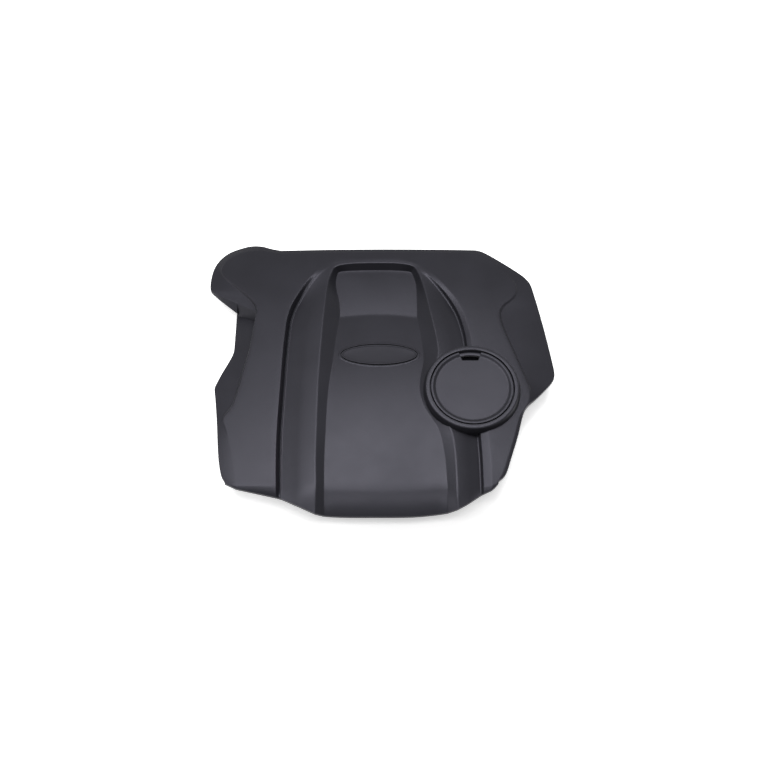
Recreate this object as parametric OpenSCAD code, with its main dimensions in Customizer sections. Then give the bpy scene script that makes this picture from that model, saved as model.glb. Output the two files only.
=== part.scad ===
// Moulded engine cover with a sunken centre channel, a round access lid and an oval badge plate.
// Units are millimetres. +X is to the right, +Y to the back, +Z up, and z = 0 is the foot of the grommets.

/* [Cover] */
// Overall width, from the left lobe to the right wing
cover_w = 514; // [430:1:615]
// Overall depth, from the front lip to the back of the lobe
cover_d = 447; // [370:1:540]
// Height of the main surface over the middle, above the feet
crown_z = 58; // [48:0.5:70]
// Fall of the main surface from the middle to each side
side_fall = 13.5; // [8:0.5:18]
// Fall of the main surface towards the back edge
rear_fall = 9; // [5:0.5:14]
// Thickness of the moulded wall
wall = 3; // [2.4:0.1:3.8]
// Height of the edge that is turned down all the way round
edge_h = 4; // [3.2:0.1:6]
// Fall of the front lip below the crown, at the middle
lip_fall = 24; // [20:0.5:30]

/* [Side steps] */
// Depth of the left step where it meets the lobe
step_depth = 19; // [10:0.5:24]
// Plan width of each step's face
step_run = 2; // [1.6:0.1:4]
// Plan width of the sloped face under the left lobe
lobe_wall_run = 11; // [6:0.5:16]
// Depth of the recess in the left lobe
lobe_recess = 4; // [2:0.5:6]
// Depth of the right wing below the main surface
wing_depth = 3; // [1.5:0.5:5]

/* [Arch and channel] */
// Depth of the valley at the foot of the arch wall
valley_depth = 11.5; // [8:0.5:15]
// Plan width of the arch wall
arch_run = 7; // [4:0.5:9]
// Width of the bead that runs along the arch wall's foot
bead_w = 1.8; // [1.4:0.1:4]
// Height of that bead
bead_h = 2; // [1:0.5:4]
// Drop from the main surface to the crest of each shoulder
crest_drop = 2; // [0:0.5:5]
// Depth of the channel floor at the front
floor_depth = 11; // [8:0.5:15]
// Depth of the channel at its crease
crease_depth = 20.5; // [18.5:0.5:26]
// Depth of the channel's ramp where it meets the rear wall
ramp_top_depth = 17.5; // [14:0.5:18]
// Length over which the floor rises from the crease to the front
floor_run = 190; // [150:1:220]

/* [Lid and collar] */
// Distance of the lid's centre to the right of the middle
lid_x = 134; // [124:1:140]
// Distance of the lid's centre in front of the middle
lid_y = 48; // [40:1:56]
// Outer radius of the collar's top
collar_r = 66.5; // [64:0.5:72]
// Radius of the hole that the lid lies in
seat_r = 60; // [57:0.5:61.5]
// Gap between the lid and the collar
lid_gap = 1.2; // [0.6:0.1:2]
// Height of the collar above the crown
collar_rise = 4; // [2:0.5:8]
// Depth of the ledge below the collar's top
ledge_depth = 7; // [5.5:0.5:9]
// Width of the ledge that carries the lid
ledge_w = 5.5; // [4.5:0.5:7]
// Width of the splash shelf at the foot of the collar's inner wall
shelf_w = 6; // [4:0.5:8]
// Thickness of the splash shelf
shelf_t = 2.2; // [1.6:0.1:3]
// Depth of the collar's skirt below the crown
collar_skirt = 22; // [18:0.5:28]
// Width of the lid's raised rim
rim_w = 3.3; // [2.5:0.1:5]
// Width of the bevel from the rim to the face
bevel_w = 3; // [2:0.5:6]
// Depth of the lid's face below its rim
dish_depth = 2.5; // [1:0.1:3]
// Thickness of the lid's face
lid_t = 2.6; // [2:0.1:3.2]
// Width of the finger notch at its mouth
notch_w = 37; // [26:0.5:46]
// Depth of the finger notch from the lid's edge
notch_depth = 15; // [11:0.5:18]

/* [Badge plate] */
// Length of the badge pocket
badge_l = 114; // [90:1:120]
// Width of the badge pocket
badge_w = 37.5; // [30:0.5:46]
// Gap between the badge plate and its pocket
badge_gap = 1.5; // [0.4:0.1:2]
// Depth of the badge pocket
pocket_depth = 1.8; // [1.2:0.1:2.4]
// Thickness of the badge plate
badge_t = 2.4; // [1.9:0.1:3]
// Width of the badge plate's rim
badge_rim = 2; // [1.5:0.1:5]
// Depth of the badge plate's field below its rim
field_depth = 0.9; // [0.6:0.1:1.5]
// Distance of the badge behind the middle
badge_y = 14.5; // [8:0.5:22]

/* [Stalks and grommets] */
// Outer radius of each stalk
stalk_r = 14; // [13:0.5:17]
// Thickness of the stalk's foot plate
foot_t = 3; // [2.4:0.1:4]
// Height of the foot plate above the ground
foot_z = 4; // [3:0.1:6]
// Radius of the hole in the foot plate
foot_hole_r = 8.5; // [7.5:0.1:9.5]
// Clearance between the grommet's neck and the foot plate's hole
neck_gap = 0.3; // [0.1:0.05:0.6]
// Radius of the grommet's lower flange
flange_r = 12; // [10.5:0.1:13]
// Height of the grommet's upper flange
upper_flange_h = 5; // [4:0.1:7]
// Radius of the grommet's socket for the ball stud
socket_r = 5; // [4:0.1:6]
// Depth of that socket
socket_depth = 9; // [7:0.1:11]
// Thickness of the ribs under the cover
rib_t = 2.4; // [2:0.1:3.5]
// Depth of the ribs under the cover
rib_h = 9; // [6:0.5:14]

/* [Hidden] */
$fn = 96;
black = "#2b2b2e";
near_black = "#1c1c1f";
rubber = "#151515";

// The plan outlines below are drawn for a cover of this width and depth, and are stretched to cover_w and cover_d.
drawn_w = 514;
drawn_d = 447;
// Samples along each stretch of a plan curve, and rows down the front lip
side_n = 17;
back_n = 15;
rear_n = 14;
lip_n = 4;
left_n = lip_n + side_n + back_n;
station_n = 2 * left_n + rear_n + 1;

// Every plan curve has five stretches: left side, left back, rear, right back, right side.
// The visible top edge of the cover
edge_line = [
    [[-210, -190], [-215, -184], [-219, -170], [-223, -148], [-228, -100], [-234, -57], [-237, -42], [-236, -37], [-228, -17],
     [-217, 8], [-213, 20], [-213, 30], [-214, 60], [-215, 92]],
    [[-213, 103], [-234, 115], [-251, 126], [-256, 130], [-257, 138], [-257, 152], [-254, 172], [-245, 189],
     [-232, 201], [-214, 208], [-198, 212], [-180, 210], [-166, 203], [-150, 199]],
    [[-150, 199], [2, 197], [148, 200]],
    [[148, 200], [156, 200], [172, 190], [202, 168], [222, 152], [231, 140], [234, 126], [243, 79], [251, 30],
     [256, -8]],
    [[256, -8], [257, -18], [253, -29], [240, -44], [225, -60], [212, -72], [205, -86], [197, -118], [184, -156],
     [178, -175], [172, -185], [165, -190]]];
// The top of the side steps. Where there is no step it follows the edge a little way in.
step_line = [
    [[-193, -195], [-200, -150], [-214, -108], [-221, -94], [-215, -84], [-207, -73], [-201, -47], [-196, -15],
     [-190, 10], [-186, 44], [-183, 78]],
    [[-181, 86], [-183, 95], [-188, 104], [-198, 115], [-210, 127], [-223, 139], [-234, 150], [-242, 164],
     [-237, 178], [-225, 189], [-208, 196], [-191, 198], [-171, 195], [-150, 189]],
    [[-150, 189], [2, 187], [146, 189]],
    [[146, 189], [154, 187], [168, 177], [193, 158], [205, 142], [209, 128], [206, 115], [196, 105], [188, 98],
     [182, 90], [180, 80], [181, 69], [184, 57], [193, 30], [203, 0]],
    [[203, 0], [213, -29], [219, -48], [215, -64], [206, -77], [198, -90], [189, -121], [177, -157],
     [170, -178], [160, -194.5]]];
// The upper edge of the arch wall
arch_line = [
    [[-139, -198], [-141, -163], [-142, -113], [-141, -66], [-140, -25], [-139, 25], [-136, 68]],
    [[-136, 68], [-132, 89], [-125, 105], [-117, 121], [-107, 139], [-97, 154], [-86, 166], [-74, 175]],
    [[-74, 175], [-62, 179], [-44, 180], [2, 180], [33, 179], [48, 176], [60, 169]],
    [[60, 169], [78, 155], [90, 142], [100, 129], [110, 115], [119, 99], [126, 83], [131, 66], [135, 45]],
    [[135, 45], [139, 8], [146, -58], [154, -113], [155, -136], [156, -165], [155.5, -196.5]]];
// The crest of the shoulders beside the channel
crest_line = [
    [[-85, -195], [-87, -160], [-87, -114], [-87, -66], [-87, -34], [-85, 16], [-82, 73]],
    [[-82, 73], [-80, 99], [-77, 133], [-73, 150], [-67, 164]],
    [[-67, 164], [-56, 170], [2, 171], [44, 170], [55, 164]],
    [[55, 164], [62, 149], [69, 123], [74, 98], [79, 71], [84, 45]],
    [[84, 45], [88, 19], [87, 4], [79, -12], [71, -28], [69, -45], [72, -64], [82, -83], [94, -97], [102, -109],
     [106, -129], [108, -167], [108, -196]]];
// The edge of the channel's floor
floor_line = [
    [[-74, -192], [-75, -168], [-74, -110], [-73, -62], [-70, -25], [-66, 6], [-63, 46], [-58, 82]],
    [[-58, 82], [-58, 100], [-61, 116], [-65, 132], [-66, 149], [-62, 163]],
    [[-62, 163], [-51, 165], [2, 166], [39, 165], [50, 163]],
    [[50, 163], [56, 149], [58, 132], [58, 116], [58, 100], [58, 82]],
    [[58, 82], [62, 55], [66, 20], [67, 3], [62, -20], [59, -37], [60, -55], [66, -76], [76, -91], [86, -108],
     [91, -133], [93, -153], [94, -166], [95, -191]]];
// The front edge: plan place, then its fall below the crown as a share of lip_fall
front_line = [[-210, -192.4, 0.4], [-200, -199.4, 0.385], [-163, -208.3, 0.28], [-142, -213.3, 0.24],
              [-134, -211.5, 0.65], [-122, -216.4, 0.6], [-104, -227.5, 0.39], [-87, -237.5, 0.21],
              [-76, -234, 0.97], [-46, -235.3, 1], [-8, -235.3, 1], [30, -235.3, 1], [58, -234.3, 1],
              [96, -229.8, 0.97], [107, -232.2, 0.24], [126, -219.8, 0.42], [140, -207.2, 0.65],
              [146, -206.6, 0.36], [151, -204.8, 0.31], [158, -201.9, 0.27], [165, -192.8, 0.27]];
crease_y = 82;
// How far the rear crease bows to the back in the middle, and the place and half width of that bow
rear_bow = 5;
bow_at = 0;
bow_half = 58;
roll_y = 80;
// How far the visible edge lies below the main surface along each stretch
edge_fall = [[0.7, 0.7, 1, 2.6, 4.4, 5.3, 9, 16, 23], [4.6, 5, 4.5, 3, 2, 1.4, 1], [1, 1], [1, 1.4, 3.3, 3.6],
             [3.6, 3.6, 3, 1.2, 0.8, 0.7]];
// Depth of the side steps along each stretch, as shares of the step depth, the lobe recess and the wing depth
left_step = [0, 0, 0, 0.05, 0.12, 0.22, 0.4, 0.7, 1];
lobe_step = [1, 0.9, 0.65, 0.4, 0.1, 0, 0, 0];
wing_step = [0, 0, 0.15, 0.6, 0.9, 1, 1, 1];
tail_step = [1, 0.8, 0, 0, 0, 0, 0];
// Width of the arch wall along each stretch, as shares of arch_run
arch_share = [[0.46, 0.46], [0.46, 0.46, 1], [1, 1], [1, 1], [1, 1.1, 1.4, 1.6, 1.6]];
// Depth of the five rings inside the arch at the back, as shares of the rear wall
rear_drop = [0.02, 0.04, 0.06, 0.08, 0.12];
// Where the arch wall starts with a gentle band, and how far that band falls, as a share of the valley's depth
arch_band = [[0, 0], [0, 0], [0, 0.5, 1], [1, 1], [1, 1]];
band_fall = 0.28;

lid_r = seat_r - lid_gap;
collar_z = crown_z + collar_rise;
ledge_z = collar_z - ledge_depth;
collar_draft = 3;
collar_foot = 10;
// Widening of each upright wall over its height, which lets the moulding out of its tool
draft = 0.4;
seat_wall = 2.2;
rim_z = collar_z - 0.5;
face_z = rim_z - dish_depth;
skirt_r = seat_r - ledge_w - 0.5;
lug_w = 10;
neck_r = foot_hole_r - neck_gap;

// Smaller sizes of the skin
least_step = 0.15;
edge_draft = 0.3;
pad_rise = 0.3;
lobe_wall_h = 7;
lobe_wall_share = 0.24;
lip_bulge = 0.8;
crease_bow = 3;
rear_wall = ramp_top_depth - 7.5;
rear_foot_y = 165;
rear_from = 95;
rear_to = 160;

function unit(v) = norm(v) < 1e-6 ? [0, 0, 0] : v / norm(v);
function mix(a, b, t) = a + (b - a) * t;
function ease(t) = let (c = min(1, max(0, t))) c * c * (3 - 2 * c);
function last(a) = a[len(a) - 1];
function drawn(p) = [p[0] * cover_w / drawn_w, p[1] * cover_d / drawn_d];

// A smooth curve that touches the middle of each side of the drawn outline
function bend(a, b, c, t) = mix(mix(a, b, t), mix(b, c, t), t);
function smooth(p, n = 4) = concat(
    [p[0]],
    [for (i = [1:1:len(p) - 2], k = [0:n])
        let (a = i == 1 ? p[0] : mix(p[i - 1], p[i], 0.5), c = i == len(p) - 2 ? last(p) : mix(p[i], p[i + 1], 0.5))
        bend(a, p[i], c, k / n)],
    [last(p)]);

// Walks along a curve in n equal steps
function lengths(p, i = 0, s = 0) = i >= len(p) - 1 ? [s] : concat([s], lengths(p, i + 1, s + norm(p[i + 1] - p[i])));
function walk(p, n) = let (
        s = lengths(p),
        tx = [for (i = [0:len(p) - 1]) [s[i] + i * 1e-7, p[i][0]]],
        ty = [for (i = [0:len(p) - 1]) [s[i] + i * 1e-7, p[i][1]]])
    [for (k = [0:n]) let (d = last(s) * k / n) [lookup(d, tx), lookup(d, ty)]];

// Heights of the surfaces over the plan
function main_z(p) = crown_z - side_fall * pow(2 * p[0] / cover_w, 2)
    - rear_fall * pow(max(0, (p[1] - roll_y) / (cover_d / 2 - roll_y)), 2);
function drawn_x(p) = p[0] * drawn_w / cover_w;
function drawn_y(p) = p[1] * drawn_d / cover_d;
function crease_at(p) = crease_y + rear_bow * max(0, 1 - pow((drawn_x(p) - bow_at) / bow_half, 2));
function floor_z(p) = let (y = drawn_y(p), c = crease_at(p)) y < c
    ? crown_z - floor_depth - (crease_depth - floor_depth) * pow(1 - min(1, (c - y) / floor_run), 2.3)
    : crown_z - ramp_top_depth - (crease_depth - ramp_top_depth) * pow(1 - min(1, (y - c) / (rear_foot_y - c)), 2);
function rearward(p) = ease((drawn_y(p) - rear_from) / (rear_to - rear_from));
function spread(a, t) = lookup(t, [for (i = [0:len(a) - 1]) [i / (len(a) - 1), a[i]]]);

// One plan curve sampled along its five stretches, from the front crease round the back to the front crease.
// A curve that jumps at the lobe keeps both ends of the jump as stations of their own.
counts = [side_n, back_n, rear_n, back_n, side_n];
function stretch(line, s, n) = walk(smooth([for (p = line[s]) drawn(p)]), n);
function sampled(line, jumps = false) = concat(
    stretch(line, 0, side_n),
    jumps ? stretch(line, 1, back_n - 1) : [for (k = [1:back_n]) stretch(line, 1, back_n)[k]],
    [for (s = [2:4]) let (w = stretch(line, s, counts[s])) for (k = [1:counts[s]]) w[k]]);
// The stretch that a station lies in, and how far along it
function stretch_of(i) = i <= side_n ? [0, i / side_n]
    : i <= side_n + back_n ? [1, (i - side_n - 1) / (back_n - 1)]
    : i <= side_n + back_n + rear_n ? [2, (i - side_n - back_n) / rear_n]
    : i <= side_n + 2 * back_n + rear_n ? [3, (i - side_n - back_n - rear_n) / back_n]
    : [4, (i - side_n - 2 * back_n - rear_n) / side_n];

edge_plan = sampled(edge_line, true);
step_plan = sampled(step_line, true);
arch_plan = sampled(arch_line);
crest_plan = sampled(crest_line);
floor_plan = sampled(floor_line);
plan_n = len(edge_plan);

function flat(v) = [v[0], v[1]];
function raised(p, z) = [p[0], p[1], z];
function outward(line, i) = let (d = line[min(plan_n - 1, i + 1)] - line[max(0, i - 1)])
    flat(unit([-d[1], d[0], 0]));
function step_drop(i) = let (s = stretch_of(i))
    s[0] == 0 ? step_depth * spread(left_step, s[1])
    : s[0] == 1 ? lobe_recess * spread(lobe_step, s[1])
    : s[0] == 3 ? wing_depth * spread(wing_step, s[1])
    : s[0] == 4 ? wing_depth * spread(tail_step, s[1]) : 0;
// The sloped front wall of the lobe: all of it at the side step, none at the lobe's tip
function lobe_wall(i) = let (s = stretch_of(i)) s[0] == 1 ? max(0, 1 - s[1] / lobe_wall_share) : 0;
function edge_z(i) = let (s = stretch_of(i)) main_z(edge_plan[i]) - spread(edge_fall[s[0]], s[1]);
function step_foot(i) = step_plan[i] + step_run * outward(step_plan, i);
// A point on the way from the arch's edge to the crest of the shoulder
function across(i, run, share) = let (a = arch_plan[i], c = crest_plan[i]) mix(a, c, min(run / norm(c - a), share));
function below(p, front, k) = raised(p, main_z(p) - mix(front, rear_drop[k] * rear_wall, rearward(p)));
function wall_run(i) = let (s = stretch_of(i)) arch_run * spread(arch_share[s[0]], s[1]);
function band(i) = let (s = stretch_of(i)) spread(arch_band[s[0]], s[1]);

stations = [0:plan_n - 1];
// The rings of the top surface behind the front crease, from the outer edge to the channel floor
back_rings = [
    [for (i = stations) raised(edge_plan[i] + edge_draft * outward(edge_plan, i) - [0, lobe_wall_run * lobe_wall(i)],
        edge_z(i) - edge_h - lobe_wall_h * lobe_wall(i))],
    [for (i = stations) raised(edge_plan[i], edge_z(i))],
    [for (i = stations) raised(step_foot(i), main_z(step_plan[i]) - least_step - step_drop(i))],
    [for (i = stations) raised(step_plan[i], main_z(step_plan[i]))],
    [for (i = stations) raised(arch_plan[i], main_z(arch_plan[i]))],
    [for (i = stations) below(across(i, wall_run(i), 0.33), valley_depth * mix(1, band_fall, band(i)), 0)],
    [for (i = stations) below(across(i, wall_run(i) + bead_w, 0.5),
        mix(valley_depth - bead_h, 0.85 * valley_depth, band(i)), 1)],
    [for (i = stations) below(across(i, wall_run(i) + 2 * bead_w, 0.66), valley_depth - 0.5, 2)],
    [for (i = stations) below(mix(across(i, wall_run(i) + 2 * bead_w, 0.66), crest_plan[i], 0.55),
        mix(valley_depth, crest_drop, 0.66), 3)],
    [for (i = stations) below(crest_plan[i], crest_drop, 4)],
    [for (i = stations) raised(floor_plan[i], floor_z(floor_plan[i]))]];
ring_n = len(back_rings);

// The front edge, and the rows of the lip between it and the front crease
front_smooth = smooth([for (p = front_line) [p[0] * cover_w / drawn_w, p[1] * cover_d / drawn_d, p[2]]]);
front_y = [for (p = front_smooth) [p[0], p[1]]];
front_fall = [for (p = front_smooth) [p[0], p[2]]];
function lip_edge(x) = [x, lookup(x, front_y), crown_z - lip_fall * lookup(x, front_fall)];
// Row 0 is the underside of the edge, row 1 its top, and the last row before the crease is just in front of it
function lip_row(top, k) = let (e = lip_edge(top[0]), t = (k - 1) / (lip_n - 1))
    k == 0 ? e - [0, edge_draft, edge_h] : mix(e, top, t) + [0, 0, lip_bulge * (top[2] - e[2]) * t * (1 - t)];
function lip_of(end, j) = let (lift = [0, 0, j == 0 ? edge_h : 0])
    [for (k = [0:lip_n - 1]) lip_row(end + lift, k) - (k == 0 ? [0, 0, 0] : lift)];
function reversed(a) = [for (i = [len(a) - 1:-1:0]) a[i]];
rings = [for (j = [0:ring_n - 1]) concat(lip_of(back_rings[j][0], j), back_rings[j],
    reversed(lip_of(last(back_rings[j]), j)))];
inmost = rings[ring_n - 1];

// How much of the rear crease's bow a row of the floor takes
function near_crease(r) = r > lip_n + side_n ? (left_n - r) / back_n : pow(max(0, r - lip_n) / side_n, 4);

// The channel floor, from the front edge in row 0 to the foot of the rear wall
function floor_point(r, c) = let (
        u = c / rear_n,
        a = inmost[r],
        b = inmost[station_n - 1 - r],
        rear_y = inmost[left_n + c][1] - mix(inmost[left_n][1], inmost[left_n + rear_n][1], u),
        bow = crease_bow * 4 * u * (1 - u),
        p = [mix(a[0], b[0], u), mix(a[1], b[1], u) + rear_y * pow(r / left_n, 6)
            - bow * pow(1 - max(0, r - lip_n) / (left_n - lip_n), 8) + rear_bow * 4 * u * (1 - u) * near_crease(r)],
        crease = [p[0], mix(inmost[lip_n][1], inmost[station_n - 1 - lip_n][1], u) - bow])
    r < lip_n ? lip_row(raised(crease, floor_z(crease)), r) : raised(p, floor_z(p));
floor_rows = [for (r = [0:left_n]) [for (c = [0:rear_n])
    r == left_n ? inmost[left_n + c] : c == 0 ? inmost[r] : c == rear_n ? inmost[station_n - 1 - r]
    : floor_point(r, c)]];
// The ring of floor points next to the inmost ring
inside = [for (i = [0:station_n - 1])
    i < left_n ? floor_rows[i][1]
    : i <= left_n + rear_n ? floor_rows[left_n - 1][min(rear_n - 1, max(1, i - left_n))]
    : floor_rows[station_n - 1 - i][rear_n - 1]];

// The inner face of the wall, moved in along the mean of the faces that meet at each point
function sum(a, i = 0) = i == len(a) - 1 ? a[i] : a[i] + sum(a, i + 1);
function inner(v, e, n, w, s) = let (
        f = [cross(e - v, n - v), cross(n - v, w - v), cross(w - v, s - v), cross(s - v, e - v)],
        g = [for (c = f) if (norm(c) > 1e-6) unit(c)],
        m = sum(g) / len(g))
    v - wall * m / max(m * m, 0.5);
function ring_inner(j, i) = inner(rings[j][i], j == ring_n - 1 ? inside[i] : rings[j + 1][i],
    rings[j][min(station_n - 1, i + 1)], rings[j - 1][i], rings[j][max(0, i - 1)]);
function under(p, z) = [p[0], p[1], z];
inner_rings = [for (j = [0:ring_n - 1]) [for (i = [0:station_n - 1]) let (
        near = min(station_n - 2, max(1, i)),
        p = ring_inner(max(1, j), near))
    j == 0 || i != near ? under(p, rings[j][i][2]) : p]];
floor_inner = [for (r = [0:left_n - 1]) [for (c = [1:rear_n - 1]) let (
        q = max(1, r),
        p = inner(floor_rows[q][c], floor_rows[q][c + 1], floor_rows[q + 1][c], floor_rows[q][c - 1],
            floor_rows[q - 1][c]))
    r == 0 ? under(p, floor_rows[0][c][2]) : p]];

skin_points = concat(
    [for (r = rings) each r], [for (r = [0:left_n - 1], c = [1:rear_n - 1]) floor_rows[r][c]],
    [for (r = inner_rings) each r], [for (r = floor_inner) each r]);
face_points = ring_n * station_n + left_n * (rear_n - 1);
function ring_at(j, i) = j * station_n + i;
function floor_at(r, c) = r == left_n ? ring_at(ring_n - 1, left_n + c)
    : c == 0 ? ring_at(ring_n - 1, r)
    : c == rear_n ? ring_at(ring_n - 1, station_n - 1 - r)
    : ring_n * station_n + r * (rear_n - 1) + c - 1;
function split(a, b, c, d) = [[a, b, c], [a, c, d]];
// The squares of the right half are split the other way, so that the two halves mirror each other
function halved(a, b, c, d, left) = left ? split(a, b, c, d) : split(b, c, d, a);
top_faces = concat(
    [for (j = [0:ring_n - 2], i = [0:station_n - 2])
        each halved(ring_at(j, i), ring_at(j, i + 1), ring_at(j + 1, i + 1), ring_at(j + 1, i), i < station_n / 2)],
    [for (r = [0:left_n - 1], c = [0:rear_n - 1])
        each split(floor_at(r, c), floor_at(r + 1, c), floor_at(r + 1, c + 1), floor_at(r, c + 1))]);
rim = concat(
    [for (i = [0:station_n - 1]) ring_at(0, i)],
    [for (j = [1:ring_n - 1]) ring_at(j, station_n - 1)],
    [for (c = [rear_n - 1:-1:1]) floor_at(0, c)],
    [for (j = [ring_n - 1:-1:1]) ring_at(j, 0)]);
skin_faces = concat(
    top_faces,
    [for (f = top_faces) [for (v = reversed(f)) v + face_points]],
    [for (k = [0:len(rim) - 1]) let (a = rim[k], b = rim[(k + 1) % len(rim)])
        each split(b, a, a + face_points, b + face_points)]);

// The middle of the plan, so that the part stands over its own origin
outline = concat(rings[0], floor_rows[0]);
function middle(k) = let (a = [for (p = outline) p[k]]) (min(a) + max(a)) / 2;
centre = [middle(0), middle(1), 0];

lid_at = drawn([lid_x, -lid_y]);
stalk_places = [for (p = [[-172, -120], [-170, 150], [150, 140], [172, -132]]) drawn(p)];
// Ribs under the two flanks: left end, right end and distance behind the middle
side_ribs = [[-188, -143, -60], [-180, -143, 10], [142, 178, 55], [134, 172, 95]];
// Ribs under the channel: distance from the middle
channel_ribs = [-38, 38];
channel_rib_y = [-185, 60];
rib_cuts = 12;

module skin() {
    polyhedron(points = skin_points, faces = skin_faces, convexity = 10);
}

module over(p) {
    translate([p[0], p[1], 0]) children();
}

// Everything above the middle of the wall of the main surface at one place
module above_wall(p) {
    slope = [(main_z(p + [1, 0]) - main_z(p - [1, 0])) / 2, (main_z(p + [0, 1]) - main_z(p - [0, 1])) / 2];
    tilt = unit([-slope[0], -slope[1], 1]);
    translate([p[0], p[1], main_z(p) - wall / 2]) rotate(a = acos(tilt[2]), v = cross([0, 0, 1], tilt))
        translate([-3 * stalk_r, -3 * stalk_r, 0]) cube([6 * stalk_r, 6 * stalk_r, crown_z]);
}

module stalk(p) {
    difference() {
        over(p) rotate_extrude() polygon([[foot_hole_r, foot_z], [stalk_r, foot_z], [stalk_r, crown_z],
            [stalk_r - wall + draft, crown_z], [stalk_r - wall, foot_z + foot_t], [foot_hole_r, foot_z + foot_t]]);
        above_wall(p);
    }
}

module collar() {
    foot_r = collar_r + collar_draft;
    skirt_z = crown_z - collar_skirt;
    rotate_extrude($fn = 128) polygon([
        [seat_r + draft, collar_z], [collar_r, collar_z], [foot_r, collar_z - collar_foot], [foot_r + draft, skirt_z],
        [foot_r + draft - wall, skirt_z], [foot_r - wall, collar_z - collar_foot],
        [(collar_r + seat_r) / 2 + 0.3, collar_z - wall], [seat_r + seat_wall, collar_z - wall - 3],
        [seat_r + seat_wall + draft, skirt_z], [seat_r - shelf_w, skirt_z],
        [seat_r - shelf_w + draft, skirt_z + shelf_t], [seat_r + draft, skirt_z + shelf_t],
        [seat_r, ledge_z - wall], [seat_r - ledge_w, ledge_z - wall], [seat_r - ledge_w + draft, ledge_z],
        [seat_r, ledge_z]]);
}

// A badge's oval
module oval(l, w) {
    polygon([for (a = [0:7.5:352.5]) [l / 2 * cos(a), w / 2 * sin(a) * (1 - 0.03 * pow(cos(a), 2))]]);
}

module on_floor() {
    y = badge_y;
    slope = (floor_z([0, y + 5]) - floor_z([0, y - 5])) / 10;
    translate([1, y, floor_z([0, y])]) rotate([atan(slope), 0, 0]) children();
}

module side_rib(r) {
    w = drawn([r[0], r[2]]);
    e = drawn([r[1], r[2]]);
    xs = [for (k = [0:4]) mix(w[0], e[0], k / 4)];
    function top(x) = main_z([x, w[1]]) - wall / 2;
    translate([0, w[1] + rib_t / 2, 0]) rotate([90, 0, 0]) linear_extrude(rib_t) polygon(concat(
        [for (x = xs) [x, top(x)]], [[e[0], top(e[0]) - rib_h], [w[0], top(w[0]) - rib_h]]));
}

module channel_rib(x) {
    a = drawn([x, channel_rib_y[0]]);
    b = drawn([x, channel_rib_y[1]]);
    ys = [for (k = [0:rib_cuts]) mix(a[1], b[1], k / rib_cuts)];
    function top(y) = floor_z([0, y]) - wall / 2;
    translate([a[0] - rib_t / 2, 0, 0]) rotate([90, 0, 90]) linear_extrude(rib_t) polygon(concat(
        [for (y = ys) [y, top(y)]], [for (y = reversed(ys)) [y, top(y) - rib_h]]));
}

module cover_shell() {
    color(black) translate(-centre) difference() {
        union() {
            difference() {
                skin();
                over(lid_at) cylinder(r = collar_r + collar_draft - wall / 2, h = 3 * crown_z);
            }
            over(lid_at) collar();
            for (p = stalk_places) stalk(p);
            on_floor() translate([0, 0, -5]) linear_extrude(5 + pad_rise) oval(badge_l + 6, badge_w + 6);
            for (r = side_ribs) side_rib(r);
            for (x = channel_ribs) channel_rib(x);
        }
        on_floor() translate([0, 0, pad_rise - pocket_depth]) linear_extrude(20) oval(badge_l, badge_w);
    }
}

module filler_lid() {
    under_z = ledge_z - wall;
    bevel_r = lid_r - rim_w;
    color(near_black) translate(-centre) over(lid_at) difference() {
        union() {
            rotate_extrude($fn = 128) polygon([
                [0, face_z], [bevel_r - bevel_w, face_z], [bevel_r, rim_z], [lid_r - 0.5, rim_z],
                [lid_r, rim_z - 0.5], [lid_r, ledge_z], [skirt_r, ledge_z], [skirt_r, under_z - 3],
                [skirt_r - 2.5, under_z - 3], [skirt_r - 2.5, face_z - lid_t], [0, face_z - lid_t]]);
            for (a = [210, 330, 30]) rotate([0, 0, a]) translate([skirt_r - 1.5, -lug_w / 2, under_z - 2.5])
                cube([2.4, lug_w, 2.3]);
        }
        translate([0, 0, under_z - 10]) linear_extrude(60) polygon([
            [-0.54 * notch_w, lid_r + 2], [-0.34 * notch_w, lid_r - notch_depth],
            [0.28 * notch_w, lid_r - notch_depth], [0.46 * notch_w, lid_r + 2]]);
    }
}

module emblem_plate() {
    color(near_black) translate(-centre) on_floor() translate([0, 0, pad_rise - pocket_depth]) difference() {
        linear_extrude(badge_t) oval(badge_l - 2 * badge_gap, badge_w - 2 * badge_gap);
        translate([0, 0, badge_t - field_depth]) linear_extrude(10)
            oval(badge_l - 2 * badge_gap - 2 * badge_rim, badge_w - 2 * badge_gap - 2 * badge_rim);
    }
}

module grommet(p) {
    neck_top = foot_z + foot_t;
    color(rubber) translate(-centre) over(p) rotate_extrude() polygon([
        [0, neck_top + upper_flange_h], [neck_r + 1, neck_top + upper_flange_h],
        [neck_r + 2.3, neck_top + upper_flange_h - 2.5], [neck_r + 2.3, neck_top], [neck_r, neck_top],
        [neck_r, foot_z], [flange_r, foot_z], [flange_r, 0.8], [flange_r - 0.8, 0], [socket_r, 0], [socket_r, socket_depth],
        [0, socket_depth]]);
}

module grommet_front_left() { grommet(stalk_places[0]); }
module grommet_rear_left() { grommet(stalk_places[1]); }
module grommet_rear_right() { grommet(stalk_places[2]); }
module grommet_front_right() { grommet(stalk_places[3]); }

cover_shell();
filler_lid();
emblem_plate();
grommet_front_left();
grommet_front_right();
grommet_rear_left();
grommet_rear_right();
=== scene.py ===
# %% [markdown]
# # Engine cover
#
# The object is a thin black plastic shell that lies over an engine. A sunken channel runs down its middle, a round
# lid lies in a raised collar, and an oval badge plate sits in the channel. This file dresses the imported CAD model:
# it swaps the plain solids for finely rounded meshes of the same sizes and gives each one a real plastic.

# %% The frame
import math
import bpy
import bmesh
import numpy as np
from mathutils import Matrix, Vector


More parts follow.
